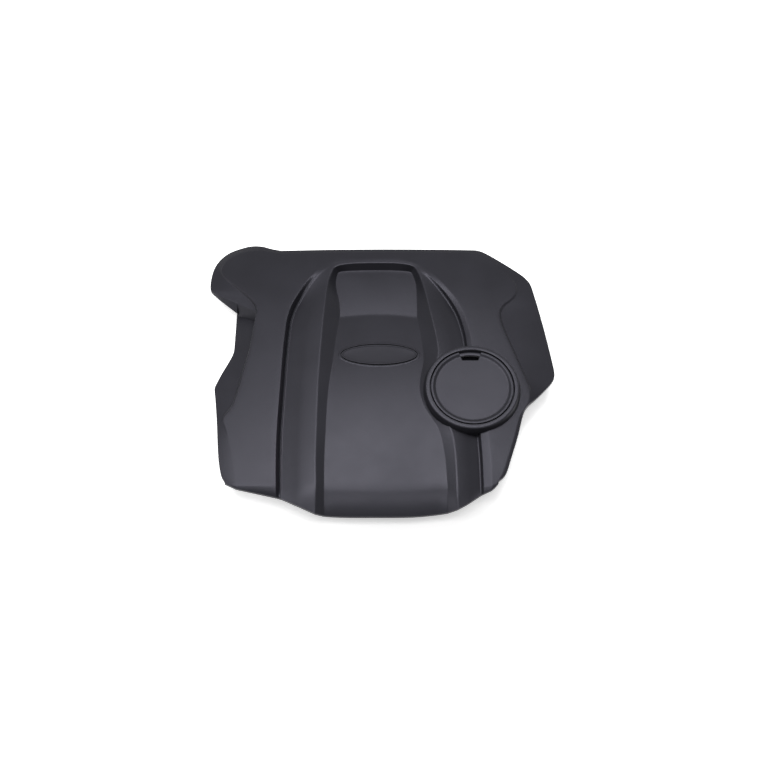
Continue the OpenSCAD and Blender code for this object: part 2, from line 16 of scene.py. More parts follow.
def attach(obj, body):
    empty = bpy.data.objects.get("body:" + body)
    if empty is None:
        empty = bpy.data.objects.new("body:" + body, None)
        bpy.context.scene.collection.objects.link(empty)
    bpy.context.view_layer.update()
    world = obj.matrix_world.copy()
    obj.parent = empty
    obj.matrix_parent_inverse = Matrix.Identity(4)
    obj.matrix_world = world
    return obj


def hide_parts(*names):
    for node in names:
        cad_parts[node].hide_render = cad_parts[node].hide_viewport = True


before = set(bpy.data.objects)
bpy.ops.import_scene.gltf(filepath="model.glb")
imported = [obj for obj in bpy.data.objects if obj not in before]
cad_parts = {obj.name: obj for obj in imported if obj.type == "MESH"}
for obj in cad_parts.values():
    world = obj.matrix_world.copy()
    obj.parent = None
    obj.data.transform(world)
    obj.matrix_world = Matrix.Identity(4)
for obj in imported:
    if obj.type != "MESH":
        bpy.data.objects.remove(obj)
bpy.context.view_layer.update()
MM = 0.001
print("CAD nodes:", sorted(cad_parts))

# %% [markdown]
# ## The camera
#
# The photograph looks down at the cover from in front. A 50 mm lens about 1.5 m away gives its slight perspective.

# %% Camera
SHIFT = np.array([0.469, 11.998, 0.0])       # from the drawn outline to the frame's origin, in mm
CAMERA_AT = np.array([8.2, -769.7, 1397.7])
LOOK_AT = np.array([8.2, -32.0, 39.0])

camera_data = bpy.data.cameras.new("camera")
camera_data.lens = 50
camera_data.sensor_width = 36
camera = bpy.data.objects.new("camera", camera_data)
bpy.context.collection.objects.link(camera)
camera.location = Vector((CAMERA_AT + SHIFT) * MM)
camera.rotation_euler = Vector((LOOK_AT - CAMERA_AT) * MM).to_track_quat("-Z", "Y").to_euler()
bpy.context.scene.camera = camera
print("camera at", [round(v, 3) for v in camera.location])

# %% [markdown]
# ## The sizes
#
# These are the same named sizes, in millimetres, as in the part's source, so the dressed shell lies where the solid
# one does.

# %% Sizes
COVER_W, COVER_D = 514.0, 447.0
CROWN_Z, SIDE_FALL, REAR_FALL = 58.0, 13.5, 9.0
WALL, EDGE_H, EDGE_DRAFT, LIP_FALL, LIP_BULGE = 3.0, 4.0, 0.3, 24.0, 0.8
STEP_DEPTH, STEP_RUN, LEAST_STEP = 19.0, 2.0, 0.15
LOBE_RECESS, WING_DEPTH = 4.0, 3.0
LOBE_WALL_RUN, LOBE_WALL_H, LOBE_WALL_SHARE = 11.0, 7.0, 0.24
VALLEY_DEPTH, ARCH_RUN, BEAD_W, BEAD_H, CREST_DROP = 11.5, 7.0, 1.8, 2.0, 2.0
FLOOR_DEPTH, CREASE_DEPTH, RAMP_TOP_DEPTH, FLOOR_RUN = 11.0, 20.5, 17.5, 190.0
CREASE_Y, ROLL_Y, REAR_FOOT_Y, CREASE_BOW = 82.0, 80.0, 165.0, 3.0
REAR_BOW, BOW_AT, BOW_HALF = 5.0, 0.0, 58.0
REAR_WALL = RAMP_TOP_DEPTH - 7.5
FLOOR_POWER, RAMP_POWER = 2.3, 2            # how the channel floor curves up to the front, and the ramp to the back

LID_AT = np.array([134.0, -48.0, 0.0])
COLLAR_R, SEAT_R, LID_GAP, COLLAR_RISE = 66.5, 60.0, 1.2, 4.0
LEDGE_DEPTH, LEDGE_W, SHELF_W, SHELF_T, COLLAR_SKIRT = 7.0, 5.5, 6.0, 2.2, 22.0
RIM_W, BEVEL_W, DISH_DEPTH, LID_T = 3.3, 3.0, 2.5, 2.6
NOTCH_W, NOTCH_DEPTH = 37.0, 15.0
LID_R = SEAT_R - LID_GAP
COLLAR_Z = CROWN_Z + COLLAR_RISE
LEDGE_Z = COLLAR_Z - LEDGE_DEPTH

BADGE_L, BADGE_W, BADGE_GAP, POCKET_DEPTH = 114.0, 37.5, 1.5, 1.8
BADGE_T, BADGE_RIM, FIELD_DEPTH, BADGE_Y, PAD_RISE = 2.4, 2.0, 0.9, 14.5, 0.3
STALK_R, FOOT_T, FOOT_Z, FOOT_HOLE_R = 14.0, 3.0, 4.0, 8.5
STALKS = [(-172, -120), (-170, 150), (150, 140), (172, -132)]
print("lid radius", LID_R, "mm, ledge at", LEDGE_Z, "mm")

# %% [markdown]
# ## Colour and a node helper
#
# Colours are written as the eye sees them, in sRGB hex, and turned to the linear numbers that the shader wants.

# %% Colour and nodes
def linear(hex_colour):
    parts = [int(hex_colour[i:i + 2], 16) / 255 for i in (1, 3, 5)]
    return [c / 12.92 if c <= 0.04045 else ((c + 0.055) / 1.055) ** 2.4 for c in parts] + [1.0]


def add(tree, kind, links=None, **settings):
    """Adds one node. Settings that name a socket set its value, the others set the node itself."""
    node = tree.nodes.new(kind)
    for key, value in settings.items():
        name = key.replace("_", " ").title()
        if hasattr(node, key):
            setattr(node, key, value)
        elif name in node.inputs:
            node.inputs[name].default_value = value
        else:
            node.inputs[key].default_value = value
    for socket, source in (links or {}).items():
        tree.links.new(source, node.inputs[socket])
    return node


# %% [markdown]
# ## Moulded plastic
#
# The cover is glass-filled polyamide, injection moulded in a spark-eroded tool. The tool leaves a fine, even grain
# that scatters the light, so the black looks charcoal where it faces a lamp and deep black where it turns away. The
# real grain is about 0.15 mm, too fine to show, so it is drawn at about a millimetre. Its tiny pits also swallow part
# of the mirror light, so the specular level is set below that of a polished plastic, and the sheen is a little cool.

# %% Plastic
def moulded_plastic(name, colour, worn, roughness, grain_mm, bump_mm, sheen="#efedff"):
    material = bpy.data.materials.new(name)
    material.use_nodes = True
    tree = material.node_tree
    tree.nodes.clear()
    place = add(tree, "ShaderNodeTexCoord").outputs["Object"]
    grain = add(tree, "ShaderNodeTexNoise", {"Vector": place}, scale=1 / (grain_mm * MM), detail=3.0, roughness=0.6)
    cloud = add(tree, "ShaderNodeTexNoise", {"Vector": place}, scale=1 / (60 * MM), detail=4.0, roughness=0.55)
    shade = add(tree, "ShaderNodeMix", {"Factor": cloud.outputs["Fac"]}, data_type="RGBA")
    shade.inputs[6].default_value, shade.inputs[7].default_value = linear(colour), linear(worn)
    gloss = add(tree, "ShaderNodeMapRange", {"Value": cloud.outputs["Fac"]}, from_min=0.3, from_max=0.7,
                to_min=roughness - 0.03, to_max=roughness + 0.04)
    bump = add(tree, "ShaderNodeBump", {"Height": grain.outputs["Fac"]}, strength=1.0, distance=bump_mm * MM)
    shader = add(tree, "ShaderNodeBsdfPrincipled", {"Base Color": shade.outputs[2],
                 "Roughness": gloss.outputs["Result"], "Normal": bump.outputs["Normal"]}, IOR=1.5)
    shader.inputs["Specular Tint"].default_value = linear(sheen)
    shader.inputs["Specular IOR Level"].default_value = 0.2
    add(tree, "ShaderNodeOutputMaterial", {"Surface": shader.outputs["BSDF"]})
    return material


cover_plastic = moulded_plastic("cover_plastic", "#141417", "#19191d", 0.37, 1.1, 0.045)
lid_plastic = moulded_plastic("lid_plastic", "#141417", "#19191d", 0.39, 1.1, 0.04)
badge_plastic = moulded_plastic("badge_plastic", "#131316", "#18181b", 0.55, 0.8, 0.02)
grommet_rubber = moulded_plastic("grommet_rubber", "#151515", "#1b1b1b", 0.75, 0.7, 0.03)
print("materials:", [m.name for m in bpy.data.materials])

# %% [markdown]
# ## The curves of the shell
#
# Seen from above, the shell is a nest of curves: its edge, the top of the side steps, the edge of the arch, the
# crest of the shoulders and the edge of the channel floor. Each is drawn with a few control points and smoothed
# into a quadratic spline, then walked in equal steps, so that all of them have the same number of stations.

# %% Curves
SIDE_N, BACK_N, REAR_N, LIP_N = 80, 60, 48, 14

EDGE_LINE = [
    [[-210, -190], [-215, -184], [-219, -170], [-223, -148], [-228, -100], [-234, -57], [-237, -42], [-236, -37],
     [-228, -17], [-217, 8], [-213, 20], [-213, 30], [-214, 60], [-215, 92]],
    [[-213, 103], [-234, 115], [-251, 126], [-256, 130], [-257, 138], [-257, 152], [-254, 172], [-245, 189],
     [-232, 201], [-214, 208], [-198, 212], [-180, 210], [-166, 203], [-150, 199]],
    [[-150, 199], [2, 197], [148, 200]],
    [[148, 200], [156, 200], [172, 190], [202, 168], [222, 152], [231, 140], [234, 126], [243, 79], [251, 30],
     [256, -8]],
    [[256, -8], [257, -18], [253, -29], [240, -44], [225, -60], [212, -72], [205, -86], [197, -118], [184, -156],
     [178, -175], [172, -185], [165, -190]]]
STEP_LINE = [
    [[-193, -195], [-200, -150], [-214, -108], [-221, -94], [-215, -84], [-207, -73], [-201, -47], [-196, -15],
     [-190, 10], [-186, 44], [-183, 78]],
    [[-181, 86], [-183, 95], [-188, 104], [-198, 115], [-210, 127], [-223, 139], [-234, 150], [-242, 164],
     [-237, 178], [-225, 189], [-208, 196], [-191, 198], [-171, 195], [-150, 189]],
    [[-150, 189], [2, 187], [146, 189]],
    [[146, 189], [154, 187], [168, 177], [193, 158], [205, 142], [209, 128], [206, 115], [196, 105], [188, 98],
     [182, 90], [180, 80], [181, 69], [184, 57], [193, 30], [203, 0]],
    [[203, 0], [213, -29], [219, -48], [215, -64], [206, -77], [198, -90], [189, -121], [177, -157],
     [170, -178], [160, -194.5]]]
ARCH_LINE = [
    [[-139, -198], [-141, -163], [-142, -113], [-141, -66], [-140, -25], [-139, 25], [-136, 68]],
    [[-136, 68], [-132, 89], [-125, 105], [-117, 121], [-107, 139], [-97, 154], [-86, 166], [-74, 175]],
    [[-74, 175], [-62, 179], [-44, 180], [2, 180], [33, 179], [48, 176], [60, 169]],
    [[60, 169], [78, 155], [90, 142], [100, 129], [110, 115], [119, 99], [126, 83], [131, 66], [135, 45]],
    [[135, 45], [139, 8], [146, -58], [154, -113], [155, -136], [156, -165], [155.5, -196.5]]]
CREST_LINE = [
    [[-85, -195], [-87, -160], [-87, -114], [-87, -66], [-87, -34], [-85, 16], [-82, 73]],
    [[-82, 73], [-80, 99], [-77, 133], [-73, 150], [-67, 164]],
    [[-67, 164], [-56, 170], [2, 171], [44, 170], [55, 164]],
    [[55, 164], [62, 149], [69, 123], [74, 98], [79, 71], [84, 45]],
    [[84, 45], [88, 19], [87, 4], [79, -12], [71, -28], [69, -45], [72, -64], [82, -83], [94, -97], [102, -109],
     [106, -129], [108, -167], [108, -196]]]
FLOOR_LINE = [
    [[-74, -192], [-75, -168], [-74, -110], [-73, -62], [-70, -25], [-66, 6], [-63, 46], [-58, 82]],
    [[-58, 82], [-58, 100], [-61, 116], [-65, 132], [-66, 149], [-62, 163]],
    [[-62, 163], [-51, 165], [2, 166], [39, 165], [50, 163]],
    [[50, 163], [56, 149], [58, 132], [58, 116], [58, 100], [58, 82]],
    [[58, 82], [62, 55], [66, 20], [67, 3], [62, -20], [59, -37], [60, -55], [66, -76], [76, -91], [86, -108],
     [91, -133], [93, -153], [94, -166], [95, -191]]]
# The front edge: its plan place, then its fall below the crown as a share of LIP_FALL
FRONT_LINE = [[-210, -192.4, 0.4], [-200, -199.4, 0.385], [-163, -208.3, 0.28], [-142, -213.3, 0.24],
              [-134, -211.5, 0.65], [-122, -216.4, 0.6], [-104, -227.5, 0.39], [-87, -237.5, 0.21],
              [-76, -234, 0.97], [-46, -235.3, 1], [-8, -235.3, 1], [30, -235.3, 1], [58, -234.3, 1],
              [96, -229.8, 0.97], [107, -232.2, 0.24], [126, -219.8, 0.42], [140, -207.2, 0.65],
              [146, -206.6, 0.36], [151, -204.8, 0.31], [158, -201.9, 0.27], [165, -192.8, 0.27]]
EDGE_FALL = [[0.7, 0.7, 1, 2.6, 4.4, 5.3, 9, 16, 23], [4.6, 5, 4.5, 3, 2, 1.4, 1], [1, 1], [1, 1.4, 3.3, 3.6],
             [3.6, 3.6, 3, 1.2, 0.8, 0.7]]
LEFT_STEP = [0, 0, 0, 0.05, 0.12, 0.22, 0.4, 0.7, 1]
LOBE_STEP = [1, 0.9, 0.65, 0.4, 0.1, 0, 0, 0]
WING_STEP = [0, 0, 0.15, 0.6, 0.9, 1, 1, 1]
TAIL_STEP = [1, 0.8, 0, 0, 0, 0, 0]
# The arch wall's width as shares of ARCH_RUN, and the depth of the rings inside it at the back
ARCH_SHARE = [[0.46, 0.46], [0.46, 0.46, 1], [1, 1], [1, 1], [1, 1.1, 1.4, 1.6, 1.6]]
REAR_DROP = [0.02, 0.04, 0.06, 0.08, 0.12]
# Where the arch wall starts with a gentle band, and that band's fall as a share of VALLEY_DEPTH
ARCH_BAND = [[0, 0], [0, 0], [0, 0.5, 1], [1, 1], [1, 1]]
BAND_FALL = 0.28


def spline(points, steps=10):
    p = np.array(points, float)
    out = [p[0]]
    for i in range(1, len(p) - 1):
        a = p[0] if i == 1 else (p[i - 1] + p[i]) / 2
        c = p[-1] if i == len(p) - 2 else (p[i] + p[i + 1]) / 2
        for k in range(steps + 1):
            t = k / steps
            out.append((1 - t) ** 2 * a + 2 * t * (1 - t) * p[i] + t * t * c)
    out.append(p[-1])
    return np.array(out)


def walk(p, n):
    """n equal steps along a curve."""
    s = np.concatenate([[0], np.cumsum(np.linalg.norm(np.diff(p, axis=0), axis=1))])
    d = np.linspace(0, s[-1], n + 1)
    return np.stack([np.interp(d, s, p[:, k]) for k in range(p.shape[1])], axis=1)


COUNTS = [SIDE_N, BACK_N, REAR_N, BACK_N, SIDE_N]


def sampled(line, jumps=False):
    out = []
    for s, n in enumerate(COUNTS):
        w = walk(spline(line[s]), n - 1 if jumps and s == 1 else n)
        out.append(w if s == 0 or (jumps and s == 1) else w[1:])
    return np.concatenate(out)


def relaxed(p, rounds):
    """Rounds the joints between the stretches of a curve."""
    for _ in range(rounds):
        p = p.copy()
        p[1:-1] = (p[:-2] + 2 * p[1:-1] + p[2:]) / 4
    return p


edge_plan, step_plan = sampled(EDGE_LINE, True), sampled(STEP_LINE, True)
arch_plan, crest_plan, floor_plan = (relaxed(sampled(line), 6) for line in (ARCH_LINE, CREST_LINE, FLOOR_LINE))
STATIONS = len(edge_plan)
print("stations round the shell:", STATIONS)

# %% [markdown]
# ## The heights
#
# The main surface is a shallow barrel that rolls off at the back. The channel floor falls from the front to a
# crease and climbs again as a ramp to the back wall.

# %% Heights
def unit(v):
    return v / np.maximum(np.linalg.norm(v, axis=-1, keepdims=True), 1e-9)


def main_z(p):
    back = np.maximum(0, (p[..., 1] - ROLL_Y) / (COVER_D / 2 - ROLL_Y))
    return CROWN_Z - SIDE_FALL * (2 * p[..., 0] / COVER_W) ** 2 - REAR_FALL * back ** 2


def crease_at(p):
    return CREASE_Y + REAR_BOW * np.maximum(0, 1 - ((p[..., 0] - BOW_AT) / BOW_HALF) ** 2)


def floor_z(p):
    y, crease = p[..., 1], crease_at(p)
    to_front = 1 - np.clip((crease - y) / FLOOR_RUN, 0, 1)
    to_back = 1 - np.clip((y - crease) / (REAR_FOOT_Y - crease), 0, 1)
    front = CROWN_Z - FLOOR_DEPTH - (CREASE_DEPTH - FLOOR_DEPTH) * to_front ** FLOOR_POWER
    ramp = CROWN_Z - RAMP_TOP_DEPTH - (CREASE_DEPTH - RAMP_TOP_DEPTH) * to_back ** RAMP_POWER
    return np.where(y < crease, front, ramp)


def rearward(p):
    t = np.clip((p[..., 1] - 95) / 65, 0, 1)
    return t * t * (3 - 2 * t)


def spread(values, t):
    return np.interp(t, np.linspace(0, 1, len(values)), values)


def outward(line):
    d = np.empty_like(line)
    d[1:-1] = line[2:] - line[:-2]
    d[0], d[-1] = line[1] - line[0], line[-1] - line[-2]
    return unit(np.stack([-d[:, 1], d[:, 0]], axis=1))


def raised(p, z):
    return np.concatenate([p, np.reshape(z, (-1, 1))], axis=1)


stretch, share = [], []
for s, n in enumerate(COUNTS):
    first = 0 if s < 2 else 1
    last = n - 1 if s == 1 else n
    for k in range(first, last + 1):
        stretch.append(s)
        share.append(k / last)
stretch, share = np.array(stretch), np.array(share)

step_drop = np.zeros(STATIONS)
for s, depth, shares in ((0, STEP_DEPTH, LEFT_STEP), (1, LOBE_RECESS, LOBE_STEP), (3, WING_DEPTH, WING_STEP),
                         (4, WING_DEPTH, TAIL_STEP)):
    step_drop[stretch == s] = depth * spread(shares, share[stretch == s])
lobe_wall = np.where(stretch == 1, np.clip(1 - share / LOBE_WALL_SHARE, 0, 1), 0)
edge_fall = np.array([spread(EDGE_FALL[s], t) for s, t in zip(stretch, share)])
edge_z = main_z(edge_plan) - edge_fall
wall_run = ARCH_RUN * np.array([spread(ARCH_SHARE[s], t) for s, t in zip(stretch, share)])
band = np.array([spread(ARCH_BAND[s], t) for s, t in zip(stretch, share)])
print("edge height from", round(float(edge_z.min()), 1), "to", round(float(edge_z.max()), 1), "mm")

# %% [markdown]
# ## The rings of the shell
#
# The curves become rings in space, from the foot of the outer edge in to the channel floor. Between the arch and
# the crest lie a groove, a bead and the rising shoulder.

# %% Rings
INSET = 6.0      # from the floor's edge to the innermost ring


def across(run, most):
    gap = np.linalg.norm(crest_plan - arch_plan, axis=1)
    t = np.minimum(run / gap, most)[:, None]
    return arch_plan + (crest_plan - arch_plan) * t


def below(p, front, k):
    return raised(p, main_z(p) - (front + (REAR_DROP[k] * REAR_WALL - front) * rearward(p)))


shoulder_foot = across(wall_run + 2 * BEAD_W, 0.66)
middle_shoulder = shoulder_foot + (crest_plan - shoulder_foot) * 0.55
middle_depth = VALLEY_DEPTH + (CREST_DROP - VALLEY_DEPTH) * 0.66
inmost_plan = relaxed(floor_plan - INSET * outward(floor_plan), 8)
wall_push = np.stack([np.zeros(STATIONS), LOBE_WALL_RUN * lobe_wall], axis=1)
rings = [
    raised(edge_plan + EDGE_DRAFT * outward(edge_plan) - wall_push, edge_z - EDGE_H - LOBE_WALL_H * lobe_wall),
    raised(edge_plan, edge_z),
    raised(step_plan + STEP_RUN * outward(step_plan), main_z(step_plan) - LEAST_STEP - step_drop),
    raised(step_plan, main_z(step_plan)),
    raised(arch_plan, main_z(arch_plan)),
    below(across(wall_run, 0.33), VALLEY_DEPTH * (1 + (BAND_FALL - 1) * band), 0),
    below(across(wall_run + BEAD_W, 0.5), (VALLEY_DEPTH - BEAD_H) * (1 - band) + 0.85 * VALLEY_DEPTH * band, 1),
    below(shoulder_foot, VALLEY_DEPTH - 0.5, 2),
    below(middle_shoulder, middle_depth, 3),
    below(crest_plan, CREST_DROP, 4),
    raised(floor_plan, floor_z(floor_plan)),
    raised(inmost_plan, floor_z(inmost_plan))]
RING_N = len(rings)
print("rings:", RING_N)

# %% [markdown]
# ## The lip and the floor
#
# In front of the crease the shell rolls down to its front edge. Each ring is carried on down the lip, and the floor
# is a grid stretched between the two sides of the innermost ring.

# %% Lip and floor
front_curve = spline(FRONT_LINE)


def lip_edge(x):
    y = np.interp(x, front_curve[:, 0], front_curve[:, 1])
    z = CROWN_Z - LIP_FALL * np.interp(x, front_curve[:, 0], front_curve[:, 2])
    return np.array([x, y, z])


def lip_rows(top, lift=0.0):
    """The points from the underside of the front edge up to just in front of the crease."""
    top = top + [0, 0, lift]
    edge = lip_edge(top[0])
    rows = [edge - [0, EDGE_DRAFT, EDGE_H]]
    for k in range(1, LIP_N):
        t = (k - 1) / (LIP_N - 1)
        rows.append(edge + (top - edge) * t + [0, 0, LIP_BULGE * (top[2] - edge[2]) * t * (1 - t) - lift])
    return rows


def rounded_at(line, i, reach):
    """Replaces the corner at point i of a line with a curve that starts and ends reach mm away from it."""
    line = np.array(line)
    s = np.concatenate([[0], np.cumsum(np.linalg.norm(np.diff(line, axis=0), axis=1))])
    s = s - s[i]
    a, b = ([np.interp(d, s, line[:, k]) for k in range(3)] for d in (-reach, reach))
    corner = line[i].copy()
    t = ((s + reach) / (2 * reach))[:, None]
    curve = (1 - t) ** 2 * np.array(a) + 2 * t * (1 - t) * corner + t * t * np.array(b)
    inside = np.abs(s) < reach
    line[inside] = curve[inside]
    return line


CREASE_REACH = [1.5, 1.5, 1.5, 1.5, 1.5, 2, 2, 2, 3, 3, 7, 9]
grid = []
for j, ring in enumerate(rings):
    lift = EDGE_H if j == 0 else 0.0
    row = np.concatenate([lip_rows(ring[0], lift), ring, lip_rows(ring[-1], lift)[::-1]])
    row = rounded_at(row, LIP_N, CREASE_REACH[j])
    grid.append(rounded_at(row, len(row) - 1 - LIP_N, CREASE_REACH[j]))
grid = np.array(grid)
ALL_N = grid.shape[1]
LEFT_N = LIP_N + SIDE_N + BACK_N

inmost = grid[-1]
floor = np.zeros((LEFT_N + 1, REAR_N + 1, 3))
floor[LEFT_N] = inmost[LEFT_N:LEFT_N + REAR_N + 1]
for c in range(REAR_N + 1):
    u = c / REAR_N
    bow = CREASE_BOW * 4 * u * (1 - u)
    rear = inmost[LEFT_N + c, 1] - (inmost[LEFT_N, 1] * (1 - u) + inmost[LEFT_N + REAR_N, 1] * u)
    column = []
    for r in range(LIP_N, LEFT_N):
        p = inmost[r] * (1 - u) + inmost[ALL_N - 1 - r] * u
        if r == LIP_N:
            p = raised(inmost_plan[[0]] * (1 - u) + inmost_plan[[-1]] * u, 0)[0]
        p[1] += rear * (r / LEFT_N) ** 6 - bow * (1 - (r - LIP_N) / (LEFT_N - LIP_N)) ** 8
        near = (LEFT_N - r) / BACK_N if r > LIP_N + SIDE_N else ((r - LIP_N) / SIDE_N) ** 4
        p[1] += (crease_at(p) - CREASE_Y) * near
        p[2] = floor_z(p)
        column.append(p)
    column = np.concatenate([lip_rows(column[0]), column])
    if 0 < c < REAR_N:
        floor[:LEFT_N, c] = rounded_at(column, LIP_N, CREASE_REACH[-1])
floor[:LEFT_N, 0] = inmost[:LEFT_N]
floor[:LEFT_N, REAR_N] = inmost[::-1][:LEFT_N]
print("grid", grid.shape, "floor", floor.shape)

# %% [markdown]
# ## The skin
#
# A moulded wall has an inner face as well. Each point is moved in by the wall's thickness along the mean of the
# faces round it. Then every ring is turned into a small round, since a moulding has no sharp corners, and those
# rounds are what catch the light along the edges.

# %% Skin
CUTS = {1: 1.0, 2: 1.0, 3: 1.0, 4: 1.4, 5: 0.8, 6: 0.8, 7: 1.0, 8: 6.0, 9: 2.0, 10: 1.0}
INNER_CUT = 1.0
ROUND_N = 4
FLANK_N = 10


def quads(ring_count):
    """Corner indices of the faces of a sheet of rings and the floor inside them, and of its open rim."""
    base = ring_count * ALL_N

    def at_ring(j, i):
        return j * ALL_N + i

    def at_floor(r, c):
        if r == LEFT_N:
            return at_ring(ring_count - 1, LEFT_N + c)
        if c == 0:
            return at_ring(ring_count - 1, r)
        if c == REAR_N:
            return at_ring(ring_count - 1, ALL_N - 1 - r)
        return base + r * (REAR_N - 1) + c - 1

    faces = [(at_ring(j, i), at_ring(j + 1, i), at_ring(j + 1, i + 1), at_ring(j, i + 1))
             for j in range(ring_count - 1) for i in range(ALL_N - 1)]
    faces += [(at_floor(r, c), at_floor(r, c + 1), at_floor(r + 1, c + 1), at_floor(r + 1, c))
              for r in range(LEFT_N) for c in range(REAR_N)]
    rim = [at_ring(0, i) for i in range(ALL_N)] + [at_ring(j, ALL_N - 1) for j in range(1, ring_count)]
    rim += [at_floor(0, c) for c in range(REAR_N - 1, 0, -1)] + [at_ring(j, 0) for j in range(ring_count - 1, 0, -1)]
    return faces, rim


print("faces of the bare sheet:", len(quads(RING_N)[0]))

# %% [markdown]
# The inner face is the outer one moved in by the wall's thickness. Each point goes along the mean of the faces round
# it, and further where they meet at an angle, so that the wall keeps its thickness there.

# %% Inner face
def sheet_points(ring_grid, floor_grid):
    return np.concatenate([ring_grid.reshape(-1, 3), floor_grid[:LEFT_N, 1:REAR_N].reshape(-1, 3)])


def moved_in(ring_grid, floor_grid, wall):
    points = sheet_points(ring_grid, floor_grid)
    faces = np.array(quads(len(ring_grid))[0])
    corners = points[faces]
    total, count = np.zeros_like(points), np.zeros(len(points))
    for k in range(4):
        v, after, before = corners[:, k], corners[:, (k + 1) % 4], corners[:, (k + 3) % 4]
        n = np.cross(after - v, before - v)
        good = np.linalg.norm(n, axis=1) > 1e-6
        np.add.at(total, faces[good, k], unit(n[good]))
        np.add.at(count, faces[good, k], 1)
    mean = total / np.maximum(count, 1)[:, None]
    points = points - wall * mean / np.maximum((mean ** 2).sum(axis=1), 0.5)[:, None]
    in_rings = points[:ring_grid.size // 3].reshape(ring_grid.shape)
    in_floor = floor_grid.copy()
    in_floor[:LEFT_N, 1:REAR_N] = points[ring_grid.size // 3:].reshape(LEFT_N, REAR_N - 1, 3)
    z = ring_grid[..., 2]
    in_rings[0, :, :2], in_rings[0, :, 2] = in_rings[1, :, :2], z[0]
    in_rings[:, 0, :2], in_rings[:, 0, 2] = in_rings[:, 1, :2], z[:, 0]
    in_rings[:, -1, :2], in_rings[:, -1, 2] = in_rings[:, -2, :2], z[:, -1]
    in_floor[0, 1:REAR_N, :2], in_floor[0, 1:REAR_N, 2] = in_floor[1, 1:REAR_N, :2], floor_grid[0, 1:REAR_N, 2]
    return in_rings, in_floor


in_rings, in_floor = moved_in(grid, floor, WALL)
print("inner face from", round(float(in_rings[..., 2].min()), 1), "to", round(float(in_rings[..., 2].max()), 1), "mm")

# %% [markdown]
# Every ring but the first and the last becomes a small round. The wide flank between the step and the arch is split
# into strips, so that it follows the barrel of the main surface.

# %% Rounds and mesh
def rounded_rings(ring_grid, cuts, on_main):
    """Turns each inner ring into a round of ROUND_N steps, and splits the wide flank into FLANK_N strips."""
    out = [ring_grid[0]]
    starts, ends = {}, {}
    for j in range(1, RING_N - 1):
        back, on = ring_grid[j - 1] - ring_grid[j], ring_grid[j + 1] - ring_grid[j]
        most = 0.45 * np.minimum(np.linalg.norm(back, axis=1), np.linalg.norm(on, axis=1))
        cut = np.minimum(cuts.get(j, INNER_CUT), most)[:, None]
        starts[j], ends[j] = ring_grid[j] + unit(back) * cut, ring_grid[j] + unit(on) * cut
    for j in range(1, RING_N - 1):
        for k in range(ROUND_N + 1):
            t = k / ROUND_N
            out.append((1 - t) ** 2 * starts[j] + 2 * t * (1 - t) * ring_grid[j] + t * t * ends[j])
        if j == 3:
            for k in range(1, FLANK_N):
                p = ends[3] + (starts[4] - ends[3]) * k / FLANK_N
                flat = main_z(ends[3]) + (main_z(starts[4]) - main_z(ends[3])) * k / FLANK_N
                bulge = main_z(p) - flat
                bulge[:LIP_N] = bulge[LIP_N] * np.linspace(0, 1, LIP_N) * on_main
                bulge[-LIP_N:] = bulge[-LIP_N - 1] * np.linspace(1, 0, LIP_N) * on_main
                p[:, 2] += bulge
                out.append(p)
    out.append(ring_grid[-1])
    return np.array(out)


def mesh_object(name, points, faces, material):
    mesh = bpy.data.meshes.new(name)
    mesh.from_pydata([tuple(p) for p in points], [], [tuple(int(v) for v in f) for f in faces])
    mesh.validate()
    obj = bpy.data.objects.new(name, mesh)
    bpy.context.collection.objects.link(obj)
    mesh.materials.append(material)
    return obj


top_rings, under_rings = rounded_rings(grid, CUTS, 1), rounded_rings(in_rings, {}, 1)
sheet_faces, rim = quads(len(top_rings))
top_points, under_points = sheet_points(top_rings, floor), sheet_points(under_rings, in_floor)
offset = len(top_points)
skin_faces = list(sheet_faces) + [tuple(v + offset for v in reversed(f)) for f in sheet_faces]
for k, a in enumerate(rim):
    b = rim[(k + 1) % len(rim)]
    skin_faces.append((b, b + offset, a + offset, a))
skin = mesh_object("skin", (np.concatenate([top_points, under_points]) + SHIFT) * MM, skin_faces, cover_plastic)
print("skin faces:", len(skin.data.polygons))

# %% [markdown]
# ## Turned shapes
#
# The collar, the lid, the stalks and the grommets are all turned: a profile is drawn in radius and height, its
# corners are rounded a little, and it is swept round an axis.

# %% Turned shapes
def rounded_profile(points, cuts, steps=3):
    """Rounds the corners of a closed profile. A cut of 0 leaves a corner as it is."""
    p = np.array(points, float)
    out = []
    for i, cut in enumerate(cuts):
        if cut == 0:
            out.append(p[i])
            continue
        a, b = p[i - 1] - p[i], p[(i + 1) % len(p)] - p[i]
        reach = min(cut, 0.45 * np.linalg.norm(a), 0.45 * np.linalg.norm(b))
        start, end = p[i] + unit(a) * reach, p[i] + unit(b) * reach
        for k in range(steps + 1):
            t = k / steps
            out.append((1 - t) ** 2 * start + 2 * t * (1 - t) * p[i] + t * t * end)
    return np.array(out)


def turned(profile, at, steps=160):
    """Vertices and faces of a closed profile turned round a vertical axis at a point, in drawn mm."""
    profile = np.array(profile)
    angle = np.linspace(0, 2 * math.pi, steps, endpoint=False)
    on_axis = profile[:, 0] < 1e-6
    points, first = [], []
    for (r, z), axis in zip(profile, on_axis):
        first.append(len(points))
        ring = [(at[0], at[1], z)] if axis else [(at[0] + r * math.cos(a), at[1] + r * math.sin(a), z) for a in angle]
        points += ring
    faces = []
    for i in range(len(profile)):
        j = (i + 1) % len(profile)
        if on_axis[i] and on_axis[j]:
            continue
        for k in range(steps):
            n = (k + 1) % steps
            face = [first[i] + (0 if on_axis[i] else k), first[j] + (0 if on_axis[j] else k),
                    first[j] + (0 if on_axis[j] else n), first[i] + (0 if on_axis[i] else n)]
            faces.append(list(dict.fromkeys(face)))
    return np.array(points), faces


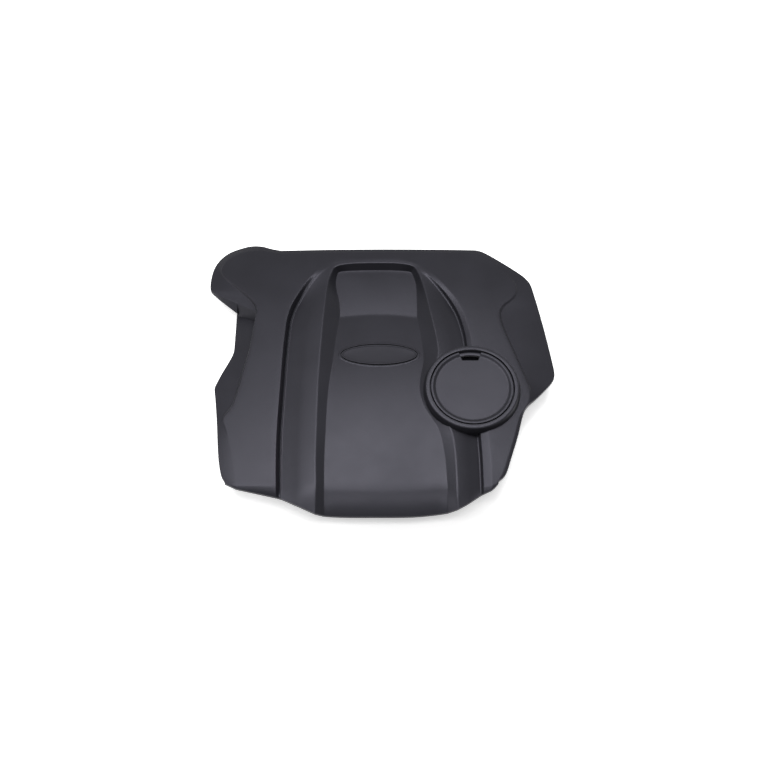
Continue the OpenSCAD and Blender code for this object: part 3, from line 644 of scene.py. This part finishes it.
print("points of one rounded corner:", len(rounded_profile([(0, 0), (1, 0), (1, 1)], [0, 0.2, 0])) - 2)

# %% [markdown]
# A few helpers finish the pieces. One makes a piece and turns its faces outwards, one cuts a piece with another, one
# joins the closed parts of a single moulding, and one smooths the shading up to the sharp edges.

# %% Finishing helpers
def outward_normals(obj):
    mesh = bmesh.new()
    mesh.from_mesh(obj.data)
    bmesh.ops.recalc_face_normals(mesh, faces=mesh.faces)
    mesh.to_mesh(obj.data)
    mesh.free()


def piece(name, points, faces, material):
    obj = mesh_object(name, (np.array(points) + SHIFT) * MM, faces, material)
    outward_normals(obj)
    return obj


def cut_by(obj, cutter):
    """Takes the cutter out of the object with an exact boolean, then removes the cutter."""
    modifier = obj.modifiers.new("cut", "BOOLEAN")
    modifier.operation, modifier.solver, modifier.object = "DIFFERENCE", "EXACT", cutter
    mesh = bpy.data.meshes.new_from_object(obj.evaluated_get(bpy.context.evaluated_depsgraph_get()))
    obj.modifiers.remove(modifier)
    obj.data = mesh
    bpy.data.objects.remove(cutter)
    return len(mesh.polygons)


def joined(name, objects):
    """Joins closed pieces of one moulding into one mesh."""
    merged = bmesh.new()
    for obj in objects:
        merged.from_mesh(obj.data)
    mesh = bpy.data.meshes.new(name)
    merged.to_mesh(mesh)
    merged.free()
    mesh.materials.append(objects[0].data.materials[0])
    for obj in objects:
        bpy.data.objects.remove(obj)
    whole = bpy.data.objects.new(name, mesh)
    bpy.context.collection.objects.link(whole)
    return whole


def smoothed(obj, degrees=32):
    obj.data.shade_smooth()
    obj.data.set_sharp_from_angle(angle=math.radians(degrees))


print("skin corners:", len(skin.data.vertices))

# %% [markdown]
# ## The hole and the collar
#
# The skin is cut away where the lid sits, and the raised collar fills the hole. Its outer face is a slight cone, as
# the mould's draft makes it, and a ledge inside it carries the lid.

# %% Hole and collar
def prism(name, outline, z0, z1):
    n = len(outline)
    points = [(x, y, z) for z in (z0, z1) for x, y in outline]
    faces = [list(range(n))[::-1], list(range(n, 2 * n))]
    faces += [[k, (k + 1) % n, n + (k + 1) % n, n + k] for k in range(n)]
    return piece(name, points, faces, cover_plastic)


def circle(r, at, steps=160):
    return [(at[0] + r * math.cos(2 * math.pi * k / steps), at[1] + r * math.sin(2 * math.pi * k / steps))
            for k in range(steps)]


DRAFT, COLLAR_FOOT, SEAT_WALL, WIDEN = 3.0, 10.0, 2.2, 0.4
left = cut_by(skin, prism("hole", circle(COLLAR_R + DRAFT - WALL / 2, LID_AT), -5, 120))
foot_r, skirt_z = COLLAR_R + DRAFT, CROWN_Z - COLLAR_SKIRT
collar_profile = rounded_profile(
    [(SEAT_R + WIDEN, COLLAR_Z), (COLLAR_R, COLLAR_Z), (foot_r, COLLAR_Z - COLLAR_FOOT), (foot_r + WIDEN, skirt_z),
     (foot_r + WIDEN - WALL, skirt_z), (foot_r - WALL, COLLAR_Z - COLLAR_FOOT),
     ((COLLAR_R + SEAT_R) / 2 + 0.3, COLLAR_Z - WALL), (SEAT_R + SEAT_WALL, COLLAR_Z - WALL - 3),
     (SEAT_R + SEAT_WALL + WIDEN, skirt_z), (SEAT_R - SHELF_W, skirt_z),
     (SEAT_R - SHELF_W + WIDEN, skirt_z + SHELF_T), (SEAT_R + WIDEN, skirt_z + SHELF_T), (SEAT_R, LEDGE_Z - WALL),
     (SEAT_R - LEDGE_W, LEDGE_Z - WALL), (SEAT_R - LEDGE_W + WIDEN, LEDGE_Z), (SEAT_R, LEDGE_Z)],
    [0.8, 1.6, 1.0, 0.4, 0.4, 0, 0, 0, 0.4, 0.4, 0.4, 0, 0, 0.4, 0.5, 0.4])
collar = piece("collar", *turned(collar_profile, LID_AT), cover_plastic)
print("skin faces after the hole:", left)

# %% [markdown]
# ## The badge pocket
#
# The oval badge lies in a shallow pocket on a low pad that follows the slope of the floor.

# %% Badge pocket
def oval(length, width, steps=96):
    angle = np.linspace(0, 2 * math.pi, steps, endpoint=False)
    return np.stack([length / 2 * np.cos(angle), width / 2 * np.sin(angle) * (1 - 0.03 * np.cos(angle) ** 2)], axis=1)


badge_z = float(floor_z(np.array([0.0, BADGE_Y])))
badge_slope = math.atan(float(floor_z(np.array([0.0, BADGE_Y + 5])) - floor_z(np.array([0.0, BADGE_Y - 5]))) / 10)


def on_floor(points):
    """Moves points from the badge's own frame on to the slope of the floor."""
    x, y, z = np.array(points, float).T
    c, s = math.cos(badge_slope), math.sin(badge_slope)
    return np.stack([x + 1, BADGE_Y + y * c - z * s, badge_z + y * s + z * c], axis=1)


def oval_rings(profile):
    """A closed profile of (inset from the oval's edge, height) swept round the badge's oval."""
    points, steps = [], 96
    for inset, z in profile:
        points += [(x, y, z) for x, y in oval(BADGE_L - 2 * inset, BADGE_W - 2 * inset, steps)]
    faces = []
    for i in range(len(profile)):
        j = (i + 1) % len(profile)
        faces += [[i * steps + k, j * steps + k, j * steps + (k + 1) % steps, i * steps + (k + 1) % steps]
                  for k in range(steps)]
    return on_floor(points), faces


outline = oval(BADGE_L, BADGE_W)
pocket_points = [(x, y, z) for z in (PAD_RISE - POCKET_DEPTH, 20) for x, y in outline]
n = len(outline)
pocket_faces = [list(range(n))[::-1], list(range(n, 2 * n))]
pocket_faces += [[k, (k + 1) % n, n + (k + 1) % n, n + k] for k in range(n)]
cut_by(skin, piece("pocket", on_floor(pocket_points), pocket_faces, cover_plastic))
pad_profile = rounded_profile([(0, -2.4), (0, PAD_RISE), (-3, PAD_RISE - 0.2), (-4.5, -1.4), (-4.5, -2.4)],
                              [0, 0.4, 1.2, 0.6, 0])
pad = piece("pad", *oval_rings(pad_profile), cover_plastic)
print("badge slope:", round(math.degrees(badge_slope), 1), "degrees")

# %% [markdown]
# ## Stalks and ribs
#
# Four hollow stalks stand under the flanks, each with a holed plate at its foot that holds a grommet. Thin ribs
# stiffen the flanks and the channel. Their tops end inside the wall, as they do on a moulding.

# %% Stalks and ribs
def stalk(at):
    at = np.array([at[0], at[1], 0.0])
    p, e = at[:2], 1.0
    slope = np.array([(main_z(p + [e, 0]) - main_z(p - [e, 0])) / 2, (main_z(p + [0, e]) - main_z(p - [0, e])) / 2])
    profile = rounded_profile(
        [(FOOT_HOLE_R, FOOT_Z), (STALK_R, FOOT_Z), (STALK_R, CROWN_Z), (STALK_R - WALL, CROWN_Z),
         (STALK_R - WALL, FOOT_Z + FOOT_T), (FOOT_HOLE_R, FOOT_Z + FOOT_T)], [0.3, 0.8, 0, 0, 0.8, 0.3])
    points, faces = turned(profile, at, 64)
    top = points[:, 2] > CROWN_Z - 0.01
    points[top, 2] = main_z(p) - WALL / 2 + (points[top, :2] - p) @ slope
    return piece("stalk", points, faces, cover_plastic)


def rib(ends, thick, top, deep, steps=16):
    """A thin upright wall between two plan points whose top edge follows a height function."""
    a, b = np.array(ends, float)
    side = unit(np.array([-(b - a)[1], (b - a)[0]])) * thick / 2
    line = a + (b - a) * np.linspace(0, 1, steps)[:, None]
    corners = ((side, 0), (-side, 0), (-side, deep), (side, deep))
    points = [(*(p + s), top(p) - WALL / 2 - d) for p in line for s, d in corners]
    faces = [[4 * k + c, 4 * k + (c + 1) % 4, 4 * k + 4 + (c + 1) % 4, 4 * k + 4 + c]
             for k in range(steps - 1) for c in range(4)]
    faces += [[0, 3, 2, 1], [4 * steps - 4, 4 * steps - 3, 4 * steps - 2, 4 * steps - 1]]
    return piece("rib", points, faces, cover_plastic)


RIB_T, RIB_H = 2.4, 9.0
under = [stalk(at) for at in STALKS]
for x0, x1, y in ((-188, -143, -60), (-180, -143, 10), (142, 178, 55), (134, 172, 95)):
    under.append(rib([(x0, y), (x1, y)], RIB_T, lambda p: float(main_z(p)), RIB_H))
for x in (-38, 38):
    under.append(rib([(x, -185), (x, 60)], RIB_T, lambda p: float(floor_z(p)), RIB_H))
cover_shell = joined("cover", [skin, collar, pad] + under)
smoothed(cover_shell)
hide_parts("cover_shell")
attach(cover_shell, "root")
print("cover:", len(cover_shell.data.polygons), "faces")

# %% [markdown]
# ## The lid
#
# The lid is a dished disc with a raised rim. Under it a skirt drops through the ledge, and small snap lugs on the
# skirt hold it down. The lugs repeat round a circle, so a Geometry Nodes tree sets them out.

# %% Lugs round a circle
def lug_tree():
    tree = bpy.data.node_groups.new("lugs_round_a_circle", "GeometryNodeTree")
    tree.is_modifier = True
    tree.interface.new_socket("Geometry", in_out="OUTPUT", socket_type="NodeSocketGeometry")
    for name, kind in (("Lugs", "NodeSocketInt"), ("Radius", "NodeSocketFloat"), ("Size", "NodeSocketVector"),
                       ("Height", "NodeSocketFloat"), ("Material", "NodeSocketMaterial")):
        tree.interface.new_socket(name, in_out="INPUT", socket_type=kind)
    given = add(tree, "NodeGroupInput").outputs
    ring = add(tree, "GeometryNodeMeshCircle", {"Vertices": given["Lugs"], "Radius": given["Radius"]})
    lug = add(tree, "GeometryNodeMeshCube", {"Size": given["Size"]})
    place = add(tree, "GeometryNodeInputPosition")
    aim = add(tree, "FunctionNodeAlignRotationToVector", {"Vector": place.outputs[0]}, axis="X")
    spot = add(tree, "GeometryNodeInstanceOnPoints", {"Points": ring.outputs[0], "Instance": lug.outputs[0],
                                                      "Rotation": aim.outputs[0]})
    real = add(tree, "GeometryNodeRealizeInstances", {"Geometry": spot.outputs[0]})
    up = add(tree, "ShaderNodeCombineXYZ", {"Z": given["Height"]})
    lift = add(tree, "GeometryNodeSetPosition", {"Geometry": real.outputs[0], "Offset": up.outputs[0]})
    paint = add(tree, "GeometryNodeSetMaterial", {"Geometry": lift.outputs[0], "Material": given["Material"]})
    add(tree, "NodeGroupOutput", {"Geometry": paint.outputs[0]})
    return tree


def grown(name, tree, values):
    """Runs a tree on an empty mesh with the given inputs and keeps the result as a plain mesh."""
    host = bpy.data.objects.new(name, bpy.data.meshes.new(name))
    bpy.context.collection.objects.link(host)
    modifier = host.modifiers.new("grow", "NODES")
    modifier.node_group = tree
    sockets = {item.name: item.identifier for item in tree.interface.items_tree if item.in_out == "INPUT"}
    for key, value in values.items():
        modifier[sockets[key]] = value
    host.data = bpy.data.meshes.new_from_object(host.evaluated_get(bpy.context.evaluated_depsgraph_get()))
    host.modifiers.remove(modifier)
    return host


SKIRT_R = SEAT_R - LEDGE_W - 0.5
UNDER_Z = LEDGE_Z - WALL
lugs = grown("lugs", lug_tree(), {"Lugs": 3, "Radius": (SKIRT_R - 0.3) * MM, "Size": (2.4 * MM, 10 * MM, 2.3 * MM),
                                  "Height": (UNDER_Z - 1.35) * MM, "Material": lid_plastic})
lugs.data.transform(Matrix.Translation(Vector((LID_AT + SHIFT) * MM)) @ Matrix.Rotation(math.radians(30), 4, "Z"))
print("lug corners:", len(lugs.data.vertices))

# %% [markdown]
# The disc itself is turned, and the finger notch is cut out of its back edge.

# %% Lid
SKIRT_DROP, SKIRT_T = 3.0, 2.5
rim_z = COLLAR_Z - 0.5
face_z = rim_z - DISH_DEPTH
lid_profile = rounded_profile(
    [(0, face_z), (LID_R - RIM_W - BEVEL_W - 2.5, face_z), (LID_R - RIM_W - BEVEL_W, face_z), (LID_R - RIM_W, rim_z),
     (LID_R, rim_z), (LID_R, LEDGE_Z), (SKIRT_R, LEDGE_Z), (SKIRT_R, UNDER_Z - SKIRT_DROP),
     (SKIRT_R - SKIRT_T, UNDER_Z - SKIRT_DROP), (SKIRT_R - SKIRT_T, face_z - LID_T), (0, face_z - LID_T)],
    [0, 0, 1.2, 0.9, 0.8, 0.4, 0, 0.4, 0.4, 0.6, 0])
lid = piece("lid", *turned(lid_profile, LID_AT, 192), lid_plastic)
notch = [(-0.54 * NOTCH_W, LID_R + 2), (-0.34 * NOTCH_W, LID_R - NOTCH_DEPTH), (0.28 * NOTCH_W, LID_R - NOTCH_DEPTH),
         (0.46 * NOTCH_W, LID_R + 2)]
cut_by(lid, prism("notch", [(LID_AT[0] + x, LID_AT[1] + y) for x, y in notch], 30, 90))
filler_lid = joined("lid_with_lugs", [lid, lugs])
smoothed(filler_lid)
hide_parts("filler_lid")
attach(filler_lid, "root")
print("lid:", len(filler_lid.data.polygons), "faces")

# %% [markdown]
# ## The badge plate
#
# The badge is a small oval plate with a rounded rim and a sunken field. Its field is left bare.

# %% Badge plate
low, high = PAD_RISE - POCKET_DEPTH, PAD_RISE - POCKET_DEPTH + BADGE_T
rim_inner = BADGE_GAP + BADGE_RIM
FIELD_INSET = 17.5       # the field's last ring, just inside the oval's middle line
plate_profile = rounded_profile(
    [(BADGE_GAP, low), (BADGE_GAP, high), (rim_inner, high), (rim_inner + 0.8, high - FIELD_DEPTH),
     (FIELD_INSET, high - FIELD_DEPTH), (FIELD_INSET, low)], [0.2, 0.7, 0.7, 0.5, 0, 0])
plate_points, plate_faces = oval_rings(plate_profile)
steps = 96
first_top, first_low = (len(plate_profile) - 2) * steps, (len(plate_profile) - 1) * steps
plate_faces = plate_faces[:first_top] + plate_faces[first_top + steps:]
plate_faces += [list(range(first_top, first_top + steps)), list(range(first_low, first_low + steps))[::-1]]
emblem_plate = piece("badge", plate_points, plate_faces, badge_plastic)
smoothed(emblem_plate)
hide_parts("emblem_plate")
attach(emblem_plate, "root")
print("badge:", len(emblem_plate.data.polygons), "faces")

# %% [markdown]
# ## The grommets
#
# Each grommet is a soft rubber bush with a groove round its waist, pressed into the plate at a stalk's foot.

# %% Grommets
NECK_R, FLANGE_R, SOCKET_R, SOCKET_DEPTH = 8.2, 12.0, 5.0, 9.0
neck_top, crown = FOOT_Z + FOOT_T, FOOT_Z + FOOT_T + 5
grommet_profile = rounded_profile(
    [(0, crown), (NECK_R + 1, crown), (NECK_R + 2.3, crown - 2.5), (NECK_R + 2.3, neck_top), (NECK_R, neck_top),
     (NECK_R, FOOT_Z), (FLANGE_R, FOOT_Z), (FLANGE_R, 0), (SOCKET_R, 0), (SOCKET_R, SOCKET_DEPTH), (0, SOCKET_DEPTH)],
    [0, 0.8, 0.8, 0.4, 0.3, 0.3, 0.6, 1.0, 0.5, 0.5, 0])
for name, at in zip(("front_left", "rear_left", "rear_right", "front_right"), STALKS):
    bush = piece("bush_" + name, *turned(grommet_profile, at, 72), grommet_rubber)
    smoothed(bush)
    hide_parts("grommet_" + name)
    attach(bush, "root")
print("grommets:", len(STALKS))

# %% [markdown]
# ## Floor and light
#
# Black plastic is drawn by its sheen, so what it mirrors matters more than how much light falls on it. A wide soft
# lamp hangs high over the back, where flat surfaces mirror it to the camera and the ones that lean away stay dark. A
# smaller one over the front lights the lip, and a weak one on the left the steps that face it.
#
# The floor is pale and takes the soft shadow. Further out it glows a little, only to the rays that show the backdrop,
# which keeps the paper white without more light on the cover.

# %% Floor
GLOW_FROM, GLOW_TO = 0.22, 0.5             # metres from the middle, over which the floor's glow rises
GLOW_NEAR, GLOW_FAR = 0.55, 0.9
WORLD_FILL, WORLD_SHOWN = 0.15, 1.0        # the world's strength as a light, and as a backdrop


def pale(tree, near, far):
    """A strength that rises from near to far with the distance from the middle, for rays that show the backdrop."""
    place = add(tree, "ShaderNodeTexCoord")
    away = add(tree, "ShaderNodeVectorMath", {0: place.outputs["Object"]}, operation="LENGTH")
    level = add(tree, "ShaderNodeMapRange", {"Value": away.outputs["Value"]}, from_min=GLOW_FROM, from_max=GLOW_TO,
                to_min=near, to_max=far)
    return level.outputs["Result"]


def shown(tree):
    """1 for rays that show the backdrop: the camera's own, and those that come off or through a surface."""
    ray = add(tree, "ShaderNodeLightPath").outputs
    most = add(tree, "ShaderNodeMath", {0: ray["Is Camera Ray"], 1: ray["Is Glossy Ray"]}, operation="MAXIMUM")
    return add(tree, "ShaderNodeMath", {0: most.outputs[0], 1: ray["Is Transmission Ray"]},
               operation="MAXIMUM").outputs[0]


def floor_material():
    material = bpy.data.materials.new("studio_floor")
    material.use_nodes = True
    tree = material.node_tree
    tree.nodes.clear()
    paint = add(tree, "ShaderNodeBsdfDiffuse", Color=linear("#f4f4f4"))
    glow = add(tree, "ShaderNodeEmission", {"Strength": pale(tree, GLOW_NEAR, GLOW_FAR)})
    both = add(tree, "ShaderNodeAddShader", {0: paint.outputs[0], 1: glow.outputs[0]})
    mix = add(tree, "ShaderNodeMixShader", {"Fac": shown(tree), 1: paint.outputs[0], 2: both.outputs[0]})
    add(tree, "ShaderNodeOutputMaterial", {"Surface": mix.outputs[0]})
    return material


ground = mesh_object("floor", np.array([(-4, -4, 0), (4, -4, 0), (4, 4, 0), (-4, 4, 0)], float), [(0, 1, 2, 3)],
                     floor_material())
print("floor reaches", round(ground.dimensions.x, 1), "m across")

# %% Lamps and world
def lamp(name, at, towards, size, watts):
    """A soft area lamp. Its size is its width and its height."""
    data = bpy.data.lights.new(name, "AREA")
    data.shape, data.size, data.size_y, data.energy = "RECTANGLE", *size, watts
    obj = bpy.data.objects.new(name, data)
    bpy.context.collection.objects.link(obj)
    obj.location = at
    obj.rotation_euler = (Vector(towards) - Vector(at)).to_track_quat("-Z", "Y").to_euler()
    return obj


lamp("overhead", (-0.12, 0.32, 1.3), (-0.05, 0.0, 0.0), (1.4, 0.4), 25.0)
lamp("front", (0.0, -0.42, 1.25), (0, -0.15, 0.03), (0.9, 0.3), 6.0)
lamp("left", (-1.1, -0.1, 0.6), (-0.1, 0, 0.03), (0.5, 0.5), 3.5)
world = bpy.data.worlds.new("studio")
bpy.context.scene.world = world
world.use_nodes = True
world.node_tree.nodes.clear()
sky = add(world.node_tree, "ShaderNodeBackground", Color=(1, 1, 1, 1))
level = add(world.node_tree, "ShaderNodeMapRange", {"Value": shown(world.node_tree)}, to_min=WORLD_FILL,
            to_max=WORLD_SHOWN)
world.node_tree.links.new(level.outputs["Result"], sky.inputs["Strength"])
add(world.node_tree, "ShaderNodeOutputWorld", {"Surface": sky.outputs[0]})
bpy.context.scene.view_settings.view_transform = "Standard"
print("lamps:", len(bpy.data.lights))
